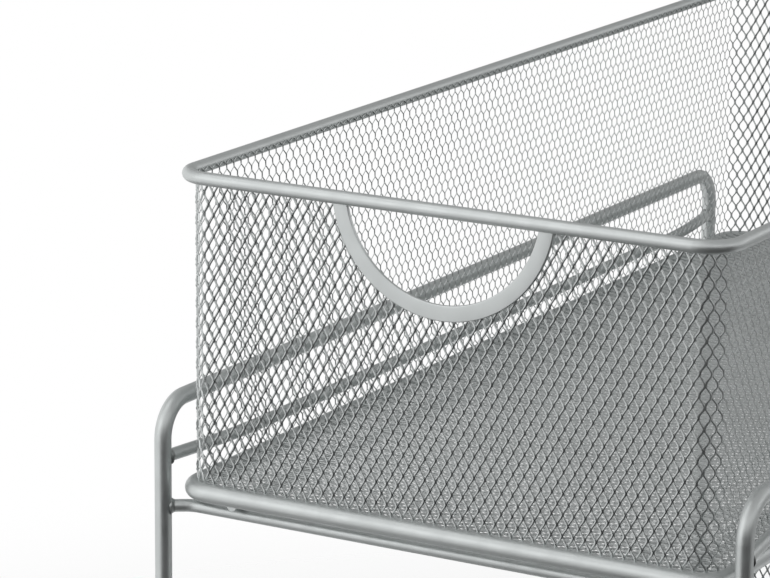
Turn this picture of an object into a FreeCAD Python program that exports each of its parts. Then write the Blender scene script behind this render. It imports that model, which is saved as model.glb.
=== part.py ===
"""Two-tier under sink organizer: a welded wire frame that carries two pull-out mesh baskets.

Millimetres, +Z up, +Y to the back. The origin is on the floor, under the middle of the organizer.
"""

import FreeCAD, Part
import math
import os

# Basket: sizes between the centre lines of its rims
BASKET_WIDTH = 206.0
BASKET_DEPTH = 450.0
BASKET_HEIGHT = 111.9
CORNER_RADIUS = 11.2
TOP_RIM_DIAMETER = 4.7
BOTTOM_RIM_DIAMETER = 6.8
BOTTOM_RIM_INSET = 1.5

# Mesh panels: each is a net of diamond gaps, coarser than the real mesh
MESH_THICKNESS = 0.8
MESH_BEDDING = 0.3
FLOOR_CLEARANCE = 0.1
NET_PITCH_ACROSS = 18.0
NET_PITCH_ALONG = 31.5
NET_WEB = 2.6
NET_BORDER = 6.0

# Hand-hold under the front top rim, with its flat trim band
HAND_HOLD_RADIUS = 36.5
HAND_HOLD_RISE = 4.5
TRIM_WIDTH = 5.6
TRIM_THICKNESS = 1.3

# Frame rods
POST_DIAMETER = 6.0
POST_BEND_RADIUS = 13.0
BEND_TAIL = 2.0
ROD_DIAMETER = 4.5
SIDE_CLEARANCE = 2.9
POST_SETBACK = 3.2
TOP_BAR_RISE = 28.8
CROSS_ROD_STEP = 5.9
CROSS_ROD_LEAD = 8.5
CROSS_ROD_BEND_REACH = 3.0
GUIDE_CLEARANCE = 2.1
GUIDE_GAP = 3.85
GUIDE_LEAD = 39.0
GUIDE_BEND_REACH = 22.0

# Runner wires welded under each basket, which slide on the cross rods
RUNNER_DIAMETER = 3.8
RUNNER_INSET = 19.8
RUNNER_BEDDING = 1.6
RUNNER_END_SETBACK = 1.8
SLIDE_CLEARANCE = 0.3

# Tiers and feet
TIER_PITCH = 240.0
LOWER_ROD_HEIGHT = 30.0
FOOT_DIAMETER = 9.6
FOOT_HEIGHT = 15.0
FOOT_SOLE = 2.5
FOOT_ROUNDING = 1.0

# Worked out from the sizes above
half_width = BASKET_WIDTH / 2
half_depth = BASKET_DEPTH / 2
top_rim_radius = TOP_RIM_DIAMETER / 2
bottom_rim_radius = BOTTOM_RIM_DIAMETER / 2
post_radius = POST_DIAMETER / 2
rod_radius = ROD_DIAMETER / 2
runner_radius = RUNNER_DIAMETER / 2

# Mesh walls stand on the bottom rim and bed into the inner side of the top rim
mesh_outer_inset = top_rim_radius - MESH_BEDDING
mesh_inner_inset = mesh_outer_inset + MESH_THICKNESS
flat_half_width = half_width - CORNER_RADIUS
flat_half_depth = half_depth - CORNER_RADIUS
wall_foot = math.sqrt(bottom_rim_radius ** 2 - (mesh_inner_inset - BOTTOM_RIM_INSET) ** 2)
floor_top = wall_foot - FLOOR_CLEARANCE
runner_x = half_width - RUNNER_INSET
runner_end_y = half_depth - BOTTOM_RIM_INSET - RUNNER_END_SETBACK
runner_drop = bottom_rim_radius + runner_radius - RUNNER_BEDDING

# Frame lines
post_x = half_width + top_rim_radius + SIDE_CLEARANCE + post_radius
post_y = half_depth - POST_SETBACK
cross_y = post_y - CROSS_ROD_STEP
cross_bend_x = post_x - CROSS_ROD_LEAD
guide_x = half_width - mesh_outer_inset + GUIDE_CLEARANCE + rod_radius
guide_bend_y = post_y - GUIDE_LEAD

# Heights over a tier's cross rods
bottom_rim_rise = rod_radius + SLIDE_CLEARANCE + runner_radius + runner_drop
guide_rise = bottom_rim_rise + bottom_rim_radius + GUIDE_GAP + rod_radius
tier_heights = {"lower": LOWER_ROD_HEIGHT, "upper": LOWER_ROD_HEIGHT + TIER_PITCH}
top_bar_height = tier_heights["upper"] + bottom_rim_rise + TOP_BAR_RISE
leg_top = top_bar_height - POST_BEND_RADIUS - BEND_TAIL

UP = FreeCAD.Vector(0, 0, 1)


def point(x, y, z):
    return FreeCAD.Vector(x, y, z)


def bend(before, corner, after, reach):
    """Arc that rounds a corner, starting and ending at the given reach from it."""
    way_in = (corner - before).normalize()
    way_out = (after - corner).normalize()
    half_turn = way_in.getAngle(way_out) / 2
    radius = reach / math.tan(half_turn)
    inward = (way_out - way_in).normalize()
    middle = corner + inward * (radius / math.cos(half_turn) - radius)
    return Part.Arc(corner - way_in * reach, middle, corner + way_out * reach)


def bent_rod(corners, reach, radius):
    """Round rod along straight runs, with an arc at each inner corner."""
    edges = []
    run_start = corners[0]
    for before, corner, after in zip(corners, corners[1:], corners[2:]):
        arc = bend(before, corner, after, reach)
        edges.append(Part.LineSegment(run_start, arc.StartPoint).toShape())
        edges.append(arc.toShape())
        run_start = arc.EndPoint
    edges.append(Part.LineSegment(run_start, corners[-1]).toShape())
    path = Part.Wire(edges)
    section = Part.Wire(Part.Circle(corners[0], corners[1] - corners[0], radius).toShape())
    return path.makePipeShell([section], True, False)


def rim_ring(inset, radius):
    """Closed wire ring round the basket, its centre line inset from the top rim's."""
    corner_radius = CORNER_RADIUS - inset
    side_x = half_width - inset
    side_y = half_depth - inset
    pieces = []
    for side in (-1, 1):
        along_x = point(-flat_half_width, side * side_y, 0)
        along_y = point(side * side_x, -flat_half_depth, 0)
        pieces.append(Part.makeCylinder(radius, 2 * flat_half_width, along_x, point(1, 0, 0)))
        pieces.append(Part.makeCylinder(radius, 2 * flat_half_depth, along_y, point(0, 1, 0)))
    for quarter, (x_side, y_side) in enumerate(((1, 1), (-1, 1), (-1, -1), (1, -1))):
        centre = point(x_side * flat_half_width, y_side * flat_half_depth, 0)
        corner = Part.makeTorus(corner_radius, radius, point(0, 0, 0), UP, -180, 180, 90)
        corner.rotate(point(0, 0, 0), UP, 90 * quarter)
        corner.translate(centre)
        pieces.append(corner)
    return pieces[0].multiFuse(pieces[1:]).removeSplitter()


def diamond(centre_u, centre_v, half_u, half_v):
    """Closed diamond wire in the XZ plane, wound against the outlines so that it makes a gap."""
    corners = [
        point(centre_u - half_u, 0, centre_v),
        point(centre_u, 0, centre_v + half_v),
        point(centre_u + half_u, 0, centre_v),
        point(centre_u, 0, centre_v - half_v),
    ]
    return Part.makePolygon(corners + corners[:1])


def net_gaps(width, height, is_open):
    """Diamond wires in staggered rows that fill a width by height panel, where is_open allows.

    The pitches are stretched a little so that the rows and columns end at the panel's border.
    """
    reach_u = width / 2 - NET_BORDER
    reach_v = height / 2 - NET_BORDER
    columns = int(reach_u / (NET_PITCH_ACROSS / 2))
    rows = int(reach_v / (NET_PITCH_ALONG / 2))
    step_u = reach_u / columns
    step_v = reach_v / rows
    centre_to_side = step_u * step_v / math.hypot(step_u, step_v)
    shrink = 1 - NET_WEB / 2 / centre_to_side
    half_u = step_u * shrink
    half_v = step_v * shrink
    gaps = []
    for row in range(1 - rows, rows):
        for column in range(1 - columns, columns):
            u = column * step_u
            v = row * step_v
            if (row + column) % 2 == 0 and is_open(u, v, half_u, half_v):
                gaps.append(diamond(u, v, half_u, half_v))
    return gaps


def always_open(u, v, half_u, half_v):
    return True


def net_plate(outline, width, height, is_open=always_open):
    """Flat net in the XZ plane, its thickness along +Y, from one holed face."""
    face = Part.Face([outline] + net_gaps(width, height, is_open))
    return face.extrude(point(0, MESH_THICKNESS, 0))


def rectangle(width, height):
    """Closed rectangle wire in the XZ plane, centred on the origin."""
    u = width / 2
    v = height / 2
    corners = [point(-u, 0, -v), point(u, 0, -v), point(u, 0, v), point(-u, 0, v)]
    return Part.makePolygon(corners + corners[:1])


def rounded_rectangle(width, height, radius):
    """Closed rectangle wire in the XZ plane with rounded corners, centred on the origin."""
    u = width / 2
    v = height / 2
    corners = [point(-u, 0, -v), point(u, 0, -v), point(u, 0, v), point(-u, 0, v)]
    edges = []
    arcs = []
    for index, corner in enumerate(corners):
        arcs.append(bend(corners[index - 1], corner, corners[(index + 1) % 4], radius))
    for index, arc in enumerate(arcs):
        edges.append(arc.toShape())
        edges.append(Part.LineSegment(arc.EndPoint, arcs[(index + 1) % 4].StartPoint).toShape())
    return Part.Wire(edges)


def clear_of_hand_hold(u, v, half_u, half_v):
    """True where a gap of the front net stays clear of the hand-hold's trim."""
    rise = BASKET_HEIGHT / 2 + HAND_HOLD_RISE
    blocked = HAND_HOLD_RADIUS + TRIM_WIDTH + NET_WEB
    corners = ((u - half_u, v), (u + half_u, v), (u, v + half_v), (u, v - half_v))
    return all(math.hypot(x, z - rise) > blocked for x, z in corners)


def end_wall(is_open):
    """Net between the corner bends, standing at the front of the basket."""
    outline = rectangle(2 * flat_half_width, BASKET_HEIGHT)
    wall = net_plate(outline, 2 * flat_half_width, BASKET_HEIGHT, is_open)
    wall.translate(point(0, mesh_outer_inset - half_depth, BASKET_HEIGHT / 2))
    return wall


def hand_hold_disc(radius, start_y, thickness):
    """Disc about the hand-hold's centre, square to the front wall."""
    centre = point(0, start_y, BASKET_HEIGHT + HAND_HOLD_RISE)
    return Part.makeCylinder(radius, thickness, centre, point(0, 1, 0))


def front_wall():
    """Front net with its half-round hand-hold. The trim covers the edge of the cut."""
    wall = end_wall(clear_of_hand_hold)
    cut_radius = HAND_HOLD_RADIUS + TRIM_WIDTH / 2
    return wall.cut(hand_hold_disc(cut_radius, mesh_outer_inset - half_depth, MESH_THICKNESS))


def rear_wall():
    wall = end_wall(always_open)
    wall.rotate(point(0, 0, 0), UP, 180)
    return wall


def corner_bend(y_side):
    """Quarter-round strip of the left wall's mesh, at its front or rear end."""
    outer_radius = CORNER_RADIUS - mesh_outer_inset
    inner_radius = CORNER_RADIUS - mesh_inner_inset
    centre = point(-flat_half_width, y_side * flat_half_depth, 0)
    strip = Part.makeCylinder(outer_radius, BASKET_HEIGHT, centre, UP, 90)
    strip = strip.cut(Part.makeCylinder(inner_radius, BASKET_HEIGHT, centre, UP, 90))
    turn = 90 if y_side > 0 else 180
    strip.rotate(centre, UP, turn)
    return strip


def left_wall():
    """Left net, with the two corner bends that meet the front and rear walls."""
    outline = rectangle(2 * flat_half_depth, BASKET_HEIGHT)
    wall = net_plate(outline, 2 * flat_half_depth, BASKET_HEIGHT)
    wall.rotate(point(0, 0, 0), UP, -90)
    wall.translate(point(mesh_outer_inset - half_width, 0, BASKET_HEIGHT / 2))
    return wall.multiFuse([corner_bend(-1), corner_bend(1)])


def right_wall():
    wall = left_wall()
    wall.rotate(point(0, 0, 0), UP, 180)
    return wall


def floor_net():
    """Floor net, reaching into the bottom rim."""
    width = BASKET_WIDTH - 2 * BOTTOM_RIM_INSET
    depth = BASKET_DEPTH - 2 * BOTTOM_RIM_INSET
    outline = rounded_rectangle(width, depth, CORNER_RADIUS - BOTTOM_RIM_INSET)
    plate = net_plate(outline, width, depth)
    plate.rotate(point(0, 0, 0), point(1, 0, 0), 90)
    plate.translate(point(0, 0, floor_top - MESH_THICKNESS))
    return plate


def handle_trim():
    """Flat band round the hand-hold, on the front of the mesh and under the top rim."""
    back_y = mesh_outer_inset - half_depth
    front_y = back_y - TRIM_THICKNESS
    outer_radius = HAND_HOLD_RADIUS + TRIM_WIDTH
    band = hand_hold_disc(outer_radius, front_y, TRIM_THICKNESS)
    band = band.cut(hand_hold_disc(HAND_HOLD_RADIUS, front_y, TRIM_THICKNESS))
    keep_depth = HAND_HOLD_RISE + outer_radius
    corner = point(-outer_radius, front_y, BASKET_HEIGHT - keep_depth)
    return band.common(Part.makeBox(2 * outer_radius, TRIM_THICKNESS, keep_depth, corner))


def runner(x_side):
    """Wire under the floor, its ends set into the bottom rim at the front and the back."""
    start = point(x_side * runner_x, -runner_end_y, -runner_drop)
    return Part.makeCylinder(runner_radius, 2 * runner_end_y, start, point(0, 1, 0))


def basket_pieces():
    """One basket's pieces, standing with the centre line of its bottom rim at height 0."""
    top_rim = rim_ring(0, top_rim_radius)
    top_rim.translate(point(0, 0, BASKET_HEIGHT))
    bottom_rim = rim_ring(BOTTOM_RIM_INSET, bottom_rim_radius)
    pieces = {"top_rim": top_rim, "bottom_rim": bottom_rim}
    pieces["handle_trim"] = handle_trim().cut(top_rim)
    pieces["floor_mesh"] = floor_net().cut(bottom_rim)
    walls = {"front_mesh": front_wall(), "rear_mesh": rear_wall()}
    walls["left_mesh"] = left_wall()
    walls["right_mesh"] = right_wall()
    for name, wall in walls.items():
        pieces[name] = wall.cut(top_rim).cut(bottom_rim)
    pieces["left_runner"] = runner(-1).cut(bottom_rim)
    pieces["right_runner"] = runner(1).cut(bottom_rim)
    return pieces


def leg(x_side, y_side):
    """Straight leg rod, from inside its foot up to the end of the top bar's bend."""
    base = point(x_side * post_x, y_side * post_y, FOOT_SOLE)
    return Part.makeCylinder(post_radius, leg_top - FOOT_SOLE, base)


def top_bar(x_side):
    """Bar over one side of the frame, bent down at both ends to run on as the legs."""
    x = x_side * post_x
    corners = [
        point(x, -post_y, leg_top),
        point(x, -post_y, top_bar_height),
        point(x, post_y, top_bar_height),
        point(x, post_y, leg_top),
    ]
    return bent_rod(corners, POST_BEND_RADIUS, post_radius)


def foot(x_side, y_side):
    """Cap that the end of a leg stands in."""
    base = point(x_side * post_x, y_side * post_y, 0)
    cap = Part.makeCylinder(FOOT_DIAMETER / 2, FOOT_HEIGHT, base)
    rims = [edge for edge in cap.Edges if isinstance(edge.Curve, Part.Circle)]
    return cap.makeFillet(FOOT_ROUNDING, rims)


def guide_rod(x_side, height):
    """Rod beside the basket, over its bottom rim, bent out to the two legs."""
    corners = [
        point(x_side * post_x, -post_y, height),
        point(x_side * guide_x, -guide_bend_y, height),
        point(x_side * guide_x, guide_bend_y, height),
        point(x_side * post_x, post_y, height),
    ]
    return bent_rod(corners, GUIDE_BEND_REACH, rod_radius)


def cross_rod(y_side, height):
    """Rod from leg to leg under the basket, set in from the legs."""
    corners = [
        point(-post_x, y_side * post_y, height),
        point(-cross_bend_x, y_side * cross_y, height),
        point(cross_bend_x, y_side * cross_y, height),
        point(post_x, y_side * post_y, height),
    ]
    return bent_rod(corners, CROSS_ROD_BEND_REACH, rod_radius)


def frame_pieces():
    """The frame's pieces. Each rod is cut to fit the legs that it is welded to."""
    sides = {"left": -1, "right": 1}
    ends = {"front": -1, "rear": 1}
    legs = {}
    for end_name, end in ends.items():
        for side_name, side in sides.items():
            legs[f"{end_name}_{side_name}_leg"] = leg(side, end)
    all_legs = list(legs.values())
    pieces = dict(legs)
    for side_name, side in sides.items():
        pieces[f"{side_name}_top_bar"] = top_bar(side)
        for end_name, end in ends.items():
            pieces[f"{end_name}_{side_name}_foot"] = foot(side, end).cut(legs[f"{end_name}_{side_name}_leg"])
    for tier, rod_height in tier_heights.items():
        for end_name, end in ends.items():
            pieces[f"{tier}_{end_name}_cross_rod"] = cross_rod(end, rod_height).cut(all_legs)
        for side_name, side in sides.items():
            guide = guide_rod(side, rod_height + guide_rise)
            pieces[f"{tier}_{side_name}_guide_rod"] = guide.cut(all_legs)
    return pieces


def all_pieces():
    pieces = frame_pieces()
    basket = basket_pieces()
    for tier, rod_height in tier_heights.items():
        for name, shape in basket.items():
            moved = shape.copy()
            moved.translate(point(0, 0, rod_height + bottom_rim_rise))
            pieces[f"{tier}_{name}"] = moved
    return pieces


os.makedirs("parts", exist_ok=True)
for name, shape in all_pieces().items():
    shape.Solids[0].exportStep(f"parts/{name}.step")
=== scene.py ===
import math

import bpy
import numpy as np
from mathutils import Matrix, Vector


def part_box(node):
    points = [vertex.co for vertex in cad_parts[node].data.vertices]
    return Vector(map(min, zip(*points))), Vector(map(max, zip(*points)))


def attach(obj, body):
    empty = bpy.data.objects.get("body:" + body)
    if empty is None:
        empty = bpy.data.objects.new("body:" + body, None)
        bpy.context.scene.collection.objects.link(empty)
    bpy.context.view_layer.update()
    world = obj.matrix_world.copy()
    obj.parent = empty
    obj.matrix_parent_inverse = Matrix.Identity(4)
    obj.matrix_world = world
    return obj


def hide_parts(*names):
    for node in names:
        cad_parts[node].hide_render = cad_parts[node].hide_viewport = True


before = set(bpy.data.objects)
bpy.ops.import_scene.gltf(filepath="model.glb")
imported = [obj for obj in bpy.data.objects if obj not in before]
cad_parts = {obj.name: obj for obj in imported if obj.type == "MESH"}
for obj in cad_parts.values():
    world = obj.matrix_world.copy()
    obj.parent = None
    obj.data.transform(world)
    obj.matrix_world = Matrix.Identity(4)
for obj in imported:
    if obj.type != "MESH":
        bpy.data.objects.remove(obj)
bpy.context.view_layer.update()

MM = 0.001

# Basket, in metres, as in the CAD model
HALF_WIDTH = 103.0 * MM
HALF_DEPTH = 225.0 * MM
BASKET_HEIGHT = 111.9 * MM
CORNER_RADIUS = 11.2 * MM
BOTTOM_RIM_INSET = 1.5 * MM
MESH_INSET = 2.45 * MM
FLOOR_RISE = 2.62 * MM

# Hand-hold and its trim band
HAND_HOLD_RADIUS = 36.5 * MM
HAND_HOLD_RISE = 4.5 * MM
TRIM_WIDTH = 5.6 * MM
TRIM_THICKNESS = 1.3 * MM
TRIM_BACK_INSET = 2.05 * MM
TRIM_EDGE = 0.42 * MM
TRIM_EDGE_STEPS = 5
TRIM_END_DROP = 1.0 * MM
TRIM_STEPS = 96

# Lattice of the expanded-metal mesh, which is drawn out a little more on the side walls
MESH_PITCH_ACROSS = 4.17 * MM
MESH_PITCH_ALONG = 7.33 * MM
SIDE_DRAW = 1.118
WALL_FOOT = 2.7 * MM
WALL_HEAD = 0.45 * MM

# Strands of the mesh, each a cut strip, and the bonds where two of them meet
STRAND_WIDTH = 0.80 * MM
STRAND_THICKNESS = 0.32 * MM
STRAND_CORNERS = 5
EDGE_DRAW = 0.34 * MM
EDGE_SLOPE = math.radians(35)
WALL_TILT = math.radians(29)
FLOOR_TILT = math.radians(38)
BOND_REACH = 0.95 * MM
BOND_WAIST = 0.07 * MM
BOND_SPLAY = 0.45 * MM

# Frame, as in the CAD model
POST_X = 111.25 * MM
POST_Y = 221.8 * MM
POST_RADIUS = 3.0 * MM
ROD_RADIUS = 2.25 * MM
CROSS_ROD_STEP = 5.9 * MM
CROSS_ROD_LEAD = 8.5 * MM
CROSS_ROD_DROP = 8.15 * MM
GUIDE_LEAD = 39.0 * MM
GUIDE_X = 105.3 * MM
GUIDE_RISE = 17.65 * MM

# Weld collars: they start a bite inside the leg and end just under the rod's surface
WELD_BITE = 0.35 * MM
WELD_LENGTH = 1.9 * MM
WELD_FLARE = 0.9 * MM
WELD_CURVE = 2.2
WELD_SINK = 0.06 * MM
WELD_LUMPS = 3
WELD_LUMP_SHARE = 0.18
WELD_LUMP_TURN = 9
WELD_SIDES = 28
WELD_RINGS = 7

# Finish of every surface: cloudy tone, smeared gloss and fine grain
COOL_TINT = (0.96, 1, 0.995)
CLOUD_SCALE = 55
CLOUD_DETAIL = 4
SMEAR_SCALE = 160
SMEAR_DETAIL = 3
GRAIN_DETAIL = 2
GRAIN_STRENGTH = 0.25
NOISE_LOW = 0.3
NOISE_HIGH = 0.7

# Cards that the metal reflects, all out of the picture: compass angles from the front towards +X,
# brightness, where the mat on the floor before each card starts, and the card's distance and height
SIDE_CARDS = (
    ("front_card", -100, -8, 0.40, 0.25, 0.62, 0.02),
    ("dark_card", -8, 87, 0.06, 0.22, 1.10, 0.52),
    ("side_card", 87, 168, 0.40, 0.50, 1.10, 0.50),
    ("back_card", 168, 235, 0.40, 0.50, 1.10, 1.20),
)
CARD_STEPS = 24
MAT_HEIGHT = 0.004
TOP_CARD_HEIGHT = 1.5
TOP_CARD_REACH = 1.9
TOP_CARD_SETBACK = 0.45
TOP_CARD_BRIGHTNESS = 0.50
BRIGHT_CARD_LOW = (-0.50, -0.60)
BRIGHT_CARD_HIGH = (-0.04, -0.23)
BRIGHT_CARD_HEIGHT = 0.9
BRIGHT_CARD_BRIGHTNESS = 1.5

# Floor, which fades out between the start of its fade and its reach
FLOOR_HALF_SIZE = 1.60
FLOOR_REACH = 0.80
FLOOR_FADE = 0.45
FLOOR_TONE = 0.9
FLOOR_GLOW = 0.22

# Light
WORLD_LIGHT = 0.7
KEY_ANGLE = math.radians(-30)
KEY_RISE = math.radians(20)
KEY_TARGET = (0, 0, 0.25)
KEY_DISTANCE = 2.4
KEY_SIZE = 1.5
KEY_POWER = 4.2

# Camera fitted to the photograph: place in metres, axes, and focal length and aim in pixels
IMAGE_WIDTH = 770
FOCAL_PIXELS = 3789.7
SENSOR_WIDTH = 36.0
CAMERA_PLACE = (0.5877, -1.2813, 0.66885)
CAMERA_RIGHT = (0.86624, 0.49955, 0.00839)
CAMERA_FORWARD = (-0.48253, 0.84085, -0.24523)
AIM_RIGHT = -5.6
AIM_DOWN = -1.4
CLIP_END = 50

# Worked-out sizes: flat and bent stretches of a basket's wall, and the length of sheet in them
TIERS = ("upper", "lower")
FLAT_X = HALF_WIDTH - CORNER_RADIUS
FLAT_Y = HALF_DEPTH - CORNER_RADIUS
BEND_RADIUS = CORNER_RADIUS - MESH_INSET
BEND_LENGTH = BEND_RADIUS * math.pi / 2
SIDE_SPAN = 2 * FLAT_Y / SIDE_DRAW
PERIMETER = 4 * (FLAT_X + BEND_LENGTH) + 2 * SIDE_SPAN
HALF_PITCH = PERIMETER / (2 * round(PERIMETER / MESH_PITCH_ACROSS))


def rim_height(tier):
    """Height of the centre line of a basket's bottom rim."""
    low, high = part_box(f"{tier}_bottom_rim")
    return (low.z + high.z) / 2


# Materials


def new_material(name):
    """Empty node material and its tree."""
    material = bpy.data.materials.new(name)
    material.use_nodes = True
    tree = material.node_tree
    tree.nodes.clear()
    return material, tree


def noise(tree, coordinates, scale, detail):
    """Noise factor at the given coordinates."""
    node = tree.nodes.new("ShaderNodeTexNoise")
    node.inputs["Scale"].default_value = scale
    node.inputs["Detail"].default_value = detail
    tree.links.new(coordinates, node.inputs["Vector"])
    return node.outputs["Fac"]


def grey(value):
    """Slightly cool grey."""
    return tuple(value * share for share in COOL_TINT)


def shades(tree, factor, dark, light):
    """Grey that runs from dark to light with a noise factor."""
    node = tree.nodes.new("ShaderNodeValToRGB")
    stops = ((NOISE_LOW, dark), (NOISE_HIGH, light))
    for element, (position, value) in zip(node.color_ramp.elements, stops):
        element.position = position
        element.color = (*grey(value), 1)
    tree.links.new(factor, node.inputs["Fac"])
    return node.outputs["Color"]


def spread(tree, factor, low, high):
    """Value that runs from low to high with a noise factor."""
    node = tree.nodes.new("ShaderNodeMapRange")
    node.inputs["From Min"].default_value = NOISE_LOW
    node.inputs["From Max"].default_value = NOISE_HIGH
    node.inputs["To Min"].default_value = low
    node.inputs["To Max"].default_value = high
    tree.links.new(factor, node.inputs["Value"])
    return node.outputs["Result"]


def finished_surface(name, tones, roughness, grain_scale, grain_depth, metallic=1):
    """Material with cloudy colour, uneven gloss and a fine grain.

    The tones and the roughness are each given as a low and a high value.
    """
    material, tree = new_material(name)
    output = tree.nodes.new("ShaderNodeOutputMaterial")
    shader = tree.nodes.new("ShaderNodeBsdfPrincipled")
    shader.inputs["Metallic"].default_value = metallic
    tree.links.new(shader.outputs["BSDF"], output.inputs["Surface"])
    place = tree.nodes.new("ShaderNodeTexCoord").outputs["Object"]
    clouds = noise(tree, place, CLOUD_SCALE, CLOUD_DETAIL)
    tree.links.new(shades(tree, clouds, *tones), shader.inputs["Base Color"])
    smears = noise(tree, place, SMEAR_SCALE, SMEAR_DETAIL)
    tree.links.new(spread(tree, smears, *roughness), shader.inputs["Roughness"])
    bump = tree.nodes.new("ShaderNodeBump")
    bump.inputs["Strength"].default_value = GRAIN_STRENGTH
    bump.inputs["Distance"].default_value = grain_depth
    tree.links.new(noise(tree, place, grain_scale, GRAIN_DETAIL), bump.inputs["Height"])
    tree.links.new(bump.outputs["Normal"], shader.inputs["Normal"])
    return material


wire_silver = finished_surface("satin_silver_wire", (0.60, 0.64), (0.42, 0.50), 1500, 0.06 * MM)
mesh_silver = finished_surface("satin_silver_mesh", (0.52, 0.58), (0.27, 0.35), 1800, 0.05 * MM)
trim_silver = finished_surface("satin_silver_trim", (0.57, 0.61), (0.36, 0.44), 1500, 0.05 * MM)
# Weld grey, darker than the wire: partly the weld's own dull finish, partly painted shade where the rod
# meets its leg.
weld_and_painted_shade = finished_surface("dull_weld_and_painted_shade", (0.36, 0.46), (0.36, 0.50), 2200, 0.12 * MM)
foot_plastic = finished_surface("grey_foot_plastic", (0.16, 0.19), (0.45, 0.60), 2600, 0.05 * MM, metallic=0)


# Geometry


def add_piece(name, vertices, faces, material, body):
    """Smooth mesh object from vertices and faces, riding on a body."""
    mesh = bpy.data.meshes.new(name)
    mesh.from_pydata(vertices, [], faces, shade_flat=False)
    mesh.materials.append(material)
    mesh.update()
    piece = bpy.data.objects.new(name, mesh)
    bpy.context.scene.collection.objects.link(piece)
    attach(piece, body)
    return piece


def around_basket(distance):
    """Plan points and outward directions on the mesh wall's middle line.

    The distance runs along the sheet from the middle of the front towards +X and on round the basket.
    Each run has a length and then, if straight, its start and way, or if bent, its centre and first angle.
    """
    side_x = HALF_WIDTH - MESH_INSET
    side_y = HALF_DEPTH - MESH_INSET
    runs = (
        (FLAT_X, (0, -side_y), (1, 0)),
        (BEND_LENGTH, (FLAT_X, -FLAT_Y), -math.pi / 2),
        (SIDE_SPAN, (side_x, -FLAT_Y), (0, SIDE_DRAW)),
        (BEND_LENGTH, (FLAT_X, FLAT_Y), 0),
        (2 * FLAT_X, (FLAT_X, side_y), (-1, 0)),
        (BEND_LENGTH, (-FLAT_X, FLAT_Y), math.pi / 2),
        (SIDE_SPAN, (-side_x, FLAT_Y), (0, -SIDE_DRAW)),
        (BEND_LENGTH, (-FLAT_X, -FLAT_Y), math.pi),
        (FLAT_X, (-FLAT_X, -side_y), (1, 0)),
    )
    left = np.mod(distance, PERIMETER)
    points = np.zeros(distance.shape + (2,))
    outward = np.zeros(distance.shape + (2,))
    for length, start, way in runs:
        here = (left >= 0) & (left <= length)
        along = left[here]
        if isinstance(way, tuple):
            points[here] = np.array(start) + along[:, None] * np.array(way)
            outward[here] = np.sign((way[1], -way[0]))
        else:
            angle = way + along / BEND_RADIUS
            turned = np.stack([np.cos(angle), np.sin(angle)], axis=-1)
            points[here] = np.array(start) + BEND_RADIUS * turned
            outward[here] = turned
        left = np.where(here, -1.0, left - length)
    return points, outward


def strand_section(tilt):
    """Across and lift offsets of the corners of one strand: a cut strip, tilted like a louvre.

    The cut leaves one edge of its outer face drawn over.
    """
    edge = STRAND_WIDTH / 2
    face = STRAND_THICKNESS / 2
    drop = EDGE_DRAW * math.tan(EDGE_SLOPE)
    drawn = ((EDGE_DRAW - edge, face), (-edge, face - drop), (-edge, -face))
    corners = ((edge, -face), (edge, face), *drawn)
    cosine = math.cos(tilt)
    sine = math.sin(tilt)
    across = np.array([u * cosine + v * sine for u, v in corners])
    lift = np.array([v * cosine - u * sine for u, v in corners])
    return across, lift


def strand(index, half_pitch, tilt, start, end):
    """Rings of one zigzag strand between two column lines: across, lift and along values.

    It swings from bond to bond. At each bond it bends to the next strand and away again, in the
    plane of both.
    """
    half_length = MESH_PITCH_ALONG / 2
    first = math.floor(start / half_length) - 1
    last = math.ceil(end / half_length) + 1
    levels = np.arange(first, last + 1)
    on_left = (levels + index) % 2 == 0
    swing = np.where(on_left, 1, -1)[:, None]
    spread_out = np.array([BOND_SPLAY, BOND_WAIST, BOND_SPLAY])
    reach = half_pitch / 2 - spread_out * math.cos(tilt)
    across = ((index + 0.5) * half_pitch - reach * swing).ravel()
    lift = (-spread_out * math.sin(tilt) * swing).ravel()
    middle = levels[:, None] * half_length
    along = (middle + np.array([-BOND_REACH, 0, BOND_REACH])).ravel()
    inside = along[(along > start) & (along < end)]
    rings = np.concatenate([[start], inside, [end]])
    return np.interp(rings, along, across), np.interp(rings, along, lift), rings


def strand_net(strands, tilt, place):
    """Vertices and faces of a net from strands, each (index, half pitch, start, end).

    place turns across, lift and along values into points.
    """
    section_across, section_lift = strand_section(tilt)
    corner = np.arange(STRAND_CORNERS)
    next_corner = (corner + 1) % STRAND_CORNERS
    vertices = []
    faces = []
    base = 0
    for index, half_pitch, start, end in strands:
        across, lift, along = strand(index, half_pitch, tilt, start, end)
        points = place(
            across[:, None] + section_across,
            lift[:, None] + section_lift,
            np.repeat(along[:, None], STRAND_CORNERS, axis=1),
        )
        vertices.append(points.reshape(-1, 3))
        last_ring = base + (len(along) - 1) * STRAND_CORNERS
        ring = np.arange(base, last_ring, STRAND_CORNERS)[:, None]
        ring_after = ring + STRAND_CORNERS
        quads = [ring + corner, ring_after + corner, ring_after + next_corner, ring + next_corner]
        faces.extend(np.stack(quads, axis=-1).reshape(-1, 4).tolist())
        faces.append((base + corner).tolist())
        faces.append((last_ring + corner[::-1]).tolist())
        base = last_ring + STRAND_CORNERS
    return np.concatenate(vertices), faces


def on_wall(across, lift, along):
    """Points on a basket's wall, heights counted from the bottom rim."""
    points, outward = around_basket(across)
    flat = points + outward * lift[..., None]
    return np.concatenate([flat, along[..., None]], axis=-1)


def on_floor(across, lift, along):
    """Points on a basket's floor, heights counted from the bottom rim."""
    return np.stack([along, -across, lift + FLOOR_RISE], axis=-1)


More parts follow.
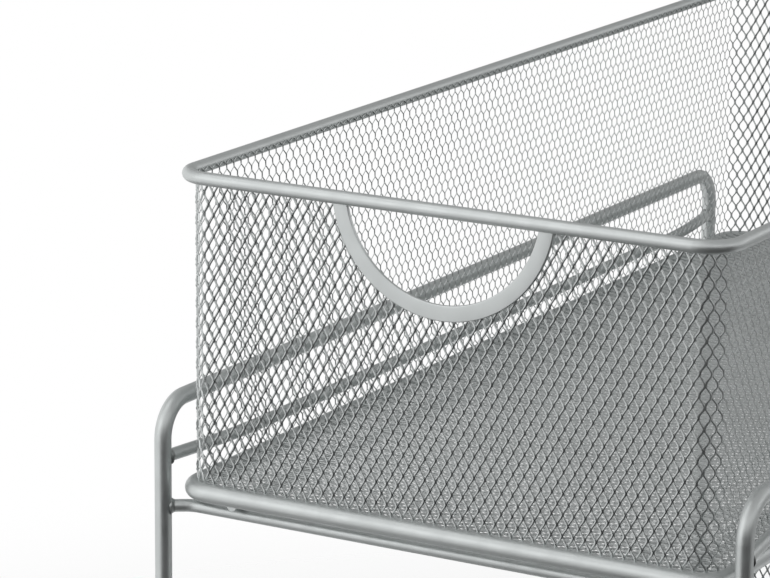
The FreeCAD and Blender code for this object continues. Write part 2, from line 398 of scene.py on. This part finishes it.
def wall_strands(start, end):
    """Strands whose middle lies in a stretch of the wall, cut to the hand-hold where they meet it."""
    cut_radius = HAND_HOLD_RADIUS + TRIM_WIDTH / 2
    centre_height = BASKET_HEIGHT + HAND_HOLD_RISE
    strands = []
    for index in range(math.ceil(start / HALF_PITCH - 0.5), math.ceil(end / HALF_PITCH - 0.5)):
        middle = (index + 0.5) * HALF_PITCH
        head = BASKET_HEIGHT + WALL_HEAD
        if abs(middle) < cut_radius:
            head = min(head, centre_height - math.sqrt(cut_radius ** 2 - middle ** 2))
        strands.append((index, HALF_PITCH, WALL_FOOT, head))
    return strands


def floor_strands(y_side):
    """Strands of the front or rear half of the floor, each ending in the bottom rim."""
    reach_y = HALF_DEPTH - BOTTOM_RIM_INSET
    rim_bend = CORNER_RADIUS - BOTTOM_RIM_INSET
    count = int(reach_y / (MESH_PITCH_ACROSS / 2))
    half_pitch = reach_y / count
    strands = []
    for step in range(count):
        index = step if y_side < 0 else -1 - step
        beyond = max(0.0, abs((index + 0.5) * half_pitch) - FLAT_Y)
        reach_x = FLAT_X + math.sqrt(max(0.0, rim_bend ** 2 - beyond ** 2))
        strands.append((index, half_pitch, -reach_x, reach_x))
    return strands


def sharpen_long_edges(mesh):
    """Keeps the long edges of the strands sharp, so that their faces are smooth only along the strand.

    A long edge joins a corner of one ring to the same corner of the next.
    """
    ends = np.empty(2 * len(mesh.edges), dtype=np.int32)
    mesh.edges.foreach_get("vertices", ends)
    step = np.abs(ends[0::2] - ends[1::2])
    mesh.edges.foreach_set("use_edge_sharp", step == STRAND_CORNERS)


def add_net(tier, name, strands, tilt, place, node):
    """Net piece of one basket."""
    vertices, faces = strand_net(strands, tilt, place)
    vertices[:, 2] += rim_height(tier)
    piece = add_piece(f"{tier}_{name}", vertices, faces, mesh_silver, f"{tier}_basket")
    sharpen_long_edges(piece.data)
    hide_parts(f"{tier}_{node}")


def basket_nets(tier):
    """Expanded-metal panels of one basket, in place of the CAD model's coarse nets."""
    rear_start = FLAT_X + 2 * BEND_LENGTH + SIDE_SPAN
    stretches = {
        "front_mesh": (-FLAT_X, FLAT_X),
        "right_mesh": (FLAT_X, rear_start),
        "rear_mesh": (rear_start, rear_start + 2 * FLAT_X),
        "left_mesh": (-rear_start, -FLAT_X),
    }
    for node, (start, end) in stretches.items():
        add_net(tier, f"{node}_strands", wall_strands(start, end), WALL_TILT, on_wall, node)
    for end_name, y_side in (("front", -1), ("rear", 1)):
        name = f"floor_mesh_{end_name}_strands"
        add_net(tier, name, floor_strands(y_side), FLOOR_TILT, on_floor, "floor_mesh")


def lofted(rings):
    """Vertices and faces of a skin through rings of points, with both ends filled."""
    sides = len(rings[0])
    vertices = [tuple(point) for ring in rings for point in ring]
    faces = []
    for ring_index in range(len(rings) - 1):
        here = ring_index * sides
        after = here + sides
        for side in range(sides):
            turn = (side + 1) % sides
            faces.append((here + side, here + turn, after + turn, after + side))
    faces.append(tuple(reversed(range(sides))))
    faces.append(tuple(range(len(vertices) - sides, len(vertices))))
    return vertices, faces


def rounded_outline(width, thickness, edge):
    """Rounded rectangle, counterclockwise, centred on the origin."""
    outline = []
    corners = ((1, 1, 0), (-1, 1, 90), (-1, -1, 180), (1, -1, 270))
    for x_side, y_side, start in corners:
        for step in range(TRIM_EDGE_STEPS + 1):
            angle = math.radians(start + 90 * step / TRIM_EDGE_STEPS)
            u = x_side * (width / 2 - edge) + edge * math.cos(angle)
            v = y_side * (thickness / 2 - edge) + edge * math.sin(angle)
            outline.append((u, v))
    return outline


def handle_band(tier):
    """Flat trim band with softened edges round the hand-hold, its ends under the top rim."""
    radius = HAND_HOLD_RADIUS + TRIM_WIDTH / 2
    middle_y = TRIM_BACK_INSET - TRIM_THICKNESS / 2 - HALF_DEPTH
    centre_z = rim_height(tier) + BASKET_HEIGHT + HAND_HOLD_RISE
    end_angle = math.asin((HAND_HOLD_RISE + TRIM_END_DROP) / radius)
    outline = rounded_outline(TRIM_WIDTH, TRIM_THICKNESS, TRIM_EDGE)
    rings = []
    for step in range(TRIM_STEPS + 1):
        angle = math.pi + end_angle + (math.pi - 2 * end_angle) * step / TRIM_STEPS
        ring = []
        for u, v in outline:
            reach = radius + u
            ring.append((reach * math.cos(angle), middle_y + v, centre_z + reach * math.sin(angle)))
        rings.append(ring)
    vertices, faces = lofted(rings)
    piece = add_piece(f"{tier}_handle_band", vertices, faces, trim_silver, f"{tier}_basket")
    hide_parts(f"{tier}_handle_trim")


def weld_collar(start, way):
    """Flared, slightly lumpy ring of weld where a rod meets its leg."""
    side = way.cross(Vector((0, 0, 1))).normalized()
    up = side.cross(way)
    rings = []
    for ring_index in range(WELD_RINGS):
        share = ring_index / (WELD_RINGS - 1)
        flare = WELD_FLARE * (1 - share) ** WELD_CURVE
        centre = start + way * (share * WELD_LENGTH)
        ring = []
        for step in range(WELD_SIDES):
            angle = 2 * math.pi * step / WELD_SIDES
            wave = math.sin(WELD_LUMPS * angle + WELD_LUMP_TURN * start.y / HALF_DEPTH)
            lump = 1 + WELD_LUMP_SHARE * wave * (1 - share)
            reach = ROD_RADIUS + flare * lump - WELD_SINK * share
            offset = side * math.cos(angle) + up * math.sin(angle)
            ring.append(centre + offset * reach)
        rings.append(ring)
    return lofted(rings)


def joined(shapes):
    """One vertex list and one face list from several."""
    vertices = []
    faces = []
    for shape_vertices, shape_faces in shapes:
        base = len(vertices)
        vertices.extend(shape_vertices)
        faces.extend(tuple(base + vertex for vertex in face) for face in shape_faces)
    return vertices, faces


def frame_welds():
    """Weld collars where guide rods and cross rods meet the legs."""
    shapes = []
    for tier in TIERS:
        cross_height = rim_height(tier) - CROSS_ROD_DROP
        guide_height = cross_height + GUIDE_RISE
        for x_side in (-1, 1):
            for y_side in (-1, 1):
                post = Vector((x_side * POST_X, y_side * POST_Y, 0))
                leads = (
                    (Vector((x_side * (GUIDE_X - POST_X), -y_side * GUIDE_LEAD, 0)), guide_height),
                    (Vector((-x_side * CROSS_ROD_LEAD, -y_side * CROSS_ROD_STEP, 0)), cross_height),
                )
                for lead, height in leads:
                    way = lead.normalized()
                    start = post + way * (POST_RADIUS - WELD_BITE) + Vector((0, 0, height))
                    shapes.append(weld_collar(start, way))
    vertices, faces = joined(shapes)
    add_piece("frame_welds", vertices, faces, weld_and_painted_shade, "frame")


def dress_nodes():
    """Materials of the CAD nodes."""
    for name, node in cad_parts.items():
        material = foot_plastic if name.endswith("_foot") else wire_silver
        node.data.materials.clear()
        node.data.materials.append(material)


# Stage, light and camera


def seen_directly(tree):
    """Value that is one for camera, glossy and transmission rays, and zero for others."""
    path = tree.nodes.new("ShaderNodeLightPath")
    seen = path.outputs["Is Camera Ray"]
    for name in ("Is Glossy Ray", "Is Transmission Ray"):
        either = tree.nodes.new("ShaderNodeMath")
        either.operation = "MAXIMUM"
        tree.links.new(seen, either.inputs[0])
        tree.links.new(path.outputs[name], either.inputs[1])
        seen = either.outputs[0]
    return seen


def reflected_card(name, vertices, faces, brightness):
    """Glowing card that only reflections show."""
    mesh = bpy.data.meshes.new(name)
    mesh.from_pydata(vertices, [], faces)
    material, tree = new_material(name)
    output = tree.nodes.new("ShaderNodeOutputMaterial")
    glow = tree.nodes.new("ShaderNodeEmission")
    glow.inputs["Strength"].default_value = brightness
    tree.links.new(glow.outputs[0], output.inputs["Surface"])
    mesh.materials.append(material)
    card = bpy.data.objects.new(name, mesh)
    bpy.context.scene.collection.objects.link(card)
    card.visible_camera = False
    card.visible_diffuse = False
    card.visible_shadow = False


def side_card(name, start, end, brightness, mat_start, distance, height):
    """Curved upright card with a mat of the same tone before it."""
    profile = ((mat_start, MAT_HEIGHT), (distance, MAT_HEIGHT), (distance, height))
    vertices = []
    faces = []
    for step in range(CARD_STEPS + 1):
        angle = math.radians(start + (end - start) * step / CARD_STEPS)
        for reach, rise in profile:
            vertices.append((reach * math.sin(angle), -reach * math.cos(angle), rise))
    for step in range(CARD_STEPS):
        for side in range(len(profile) - 1):
            here = step * len(profile) + side
            after = here + len(profile)
            faces.append((here, here + 1, after + 1, after))
    reflected_card(name, vertices, faces, brightness)


def top_card():
    """Round card overhead, set back from the middle."""
    vertices = []
    for step in range(CARD_STEPS):
        angle = 2 * math.pi * step / CARD_STEPS
        back = TOP_CARD_SETBACK + TOP_CARD_REACH * math.sin(angle)
        vertices.append((TOP_CARD_REACH * math.cos(angle), back, TOP_CARD_HEIGHT))
    reflected_card("top_card", vertices, [tuple(range(CARD_STEPS))], TOP_CARD_BRIGHTNESS)


def bright_card():
    """Small bright card over the front left of the baskets."""
    left, front = BRIGHT_CARD_LOW
    right, back = BRIGHT_CARD_HIGH
    corners = ((left, front), (right, front), (right, back), (left, back))
    vertices = [(x, y, BRIGHT_CARD_HEIGHT) for x, y in corners]
    reflected_card("bright_card", vertices, [(0, 1, 2, 3)], BRIGHT_CARD_BRIGHTNESS)


def studio_world():
    """White surroundings, dimmer as a light on the floor."""
    world = bpy.data.worlds.new("studio")
    bpy.context.scene.world = world
    world.use_nodes = True
    tree = world.node_tree
    nodes = tree.nodes
    nodes.clear()
    output = nodes.new("ShaderNodeOutputWorld")
    soft = nodes.new("ShaderNodeBackground")
    soft.inputs["Color"].default_value = (1, 1, 1, 1)
    soft.inputs["Strength"].default_value = WORLD_LIGHT
    white = nodes.new("ShaderNodeBackground")
    white.inputs["Color"].default_value = (1, 1, 1, 1)
    mix = nodes.new("ShaderNodeMixShader")
    tree.links.new(seen_directly(tree), mix.inputs["Fac"])
    tree.links.new(soft.outputs[0], mix.inputs[1])
    tree.links.new(white.outputs[0], mix.inputs[2])
    tree.links.new(mix.outputs[0], output.inputs["Surface"])


def stage_floor():
    """Plain pale floor that fades out round its edge."""
    size = FLOOR_HALF_SIZE
    mesh = bpy.data.meshes.new("floor")
    corners = [(-size, -size, 0), (size, -size, 0), (size, size, 0), (-size, size, 0)]
    mesh.from_pydata(corners, [], [(0, 1, 2, 3)])
    floor = bpy.data.objects.new("floor", mesh)
    bpy.context.scene.collection.objects.link(floor)
    material, tree = new_material("pale_floor")
    nodes = tree.nodes
    output = nodes.new("ShaderNodeOutputMaterial")
    diffuse = nodes.new("ShaderNodeBsdfDiffuse")
    diffuse.inputs["Color"].default_value = (FLOOR_TONE, FLOOR_TONE, FLOOR_TONE, 1)
    glow = nodes.new("ShaderNodeEmission")
    strength = nodes.new("ShaderNodeMath")
    strength.operation = "MULTIPLY"
    strength.inputs[1].default_value = FLOOR_GLOW
    tree.links.new(seen_directly(tree), strength.inputs[0])
    tree.links.new(strength.outputs[0], glow.inputs["Strength"])
    lit = nodes.new("ShaderNodeAddShader")
    tree.links.new(diffuse.outputs[0], lit.inputs[0])
    tree.links.new(glow.outputs[0], lit.inputs[1])
    place = nodes.new("ShaderNodeTexCoord")
    length = nodes.new("ShaderNodeVectorMath")
    length.operation = "LENGTH"
    tree.links.new(place.outputs["Object"], length.inputs[0])
    fade = nodes.new("ShaderNodeMapRange")
    fade.interpolation_type = "SMOOTHSTEP"
    fade.inputs["From Min"].default_value = FLOOR_REACH - FLOOR_FADE
    fade.inputs["From Max"].default_value = FLOOR_REACH
    tree.links.new(length.outputs["Value"], fade.inputs["Value"])
    clear = nodes.new("ShaderNodeBsdfTransparent")
    mix = nodes.new("ShaderNodeMixShader")
    tree.links.new(fade.outputs["Result"], mix.inputs["Fac"])
    tree.links.new(lit.outputs[0], mix.inputs[1])
    tree.links.new(clear.outputs[0], mix.inputs[2])
    tree.links.new(mix.outputs[0], output.inputs["Surface"])
    mesh.materials.append(material)


def key_light():
    """Square area lamp that faces the object from the front left."""
    lamp = bpy.data.lights.new("key", "AREA")
    lamp.size = KEY_SIZE
    lamp.energy = KEY_POWER
    box = bpy.data.objects.new("key", lamp)
    level = math.cos(KEY_RISE)
    way = Vector((math.sin(KEY_ANGLE) * level, -math.cos(KEY_ANGLE) * level, math.sin(KEY_RISE)))
    box.location = Vector(KEY_TARGET) + way * KEY_DISTANCE
    box.rotation_euler = way.to_track_quat("Z", "Y").to_euler()
    box.visible_camera = False
    bpy.context.scene.collection.objects.link(box)


def photo_camera():
    """Camera at the photograph's viewing angle."""
    data = bpy.data.cameras.new("camera")
    data.sensor_width = SENSOR_WIDTH
    data.sensor_fit = "HORIZONTAL"
    data.lens = FOCAL_PIXELS * SENSOR_WIDTH / IMAGE_WIDTH
    data.clip_end = CLIP_END
    camera = bpy.data.objects.new("camera", data)
    right = Vector(CAMERA_RIGHT).normalized()
    forward = Vector(CAMERA_FORWARD).normalized()
    down = forward.cross(right)
    aim = (forward + right * (AIM_RIGHT / FOCAL_PIXELS) + down * (AIM_DOWN / FOCAL_PIXELS)).normalized()
    right = (right - aim * right.dot(aim)).normalized()
    up = right.cross(aim)
    camera.matrix_world = Matrix((
        (right.x, up.x, -aim.x, CAMERA_PLACE[0]),
        (right.y, up.y, -aim.y, CAMERA_PLACE[1]),
        (right.z, up.z, -aim.z, CAMERA_PLACE[2]),
        (0, 0, 0, 1),
    ))
    bpy.context.scene.collection.objects.link(camera)
    bpy.context.scene.camera = camera


for tier in TIERS:
    basket_nets(tier)
    handle_band(tier)
frame_welds()
dress_nodes()

stage_floor()
studio_world()
for card in SIDE_CARDS:
    side_card(*card)
top_card()
bright_card()
key_light()
photo_camera()
bpy.context.scene.view_settings.view_transform = "Standard"
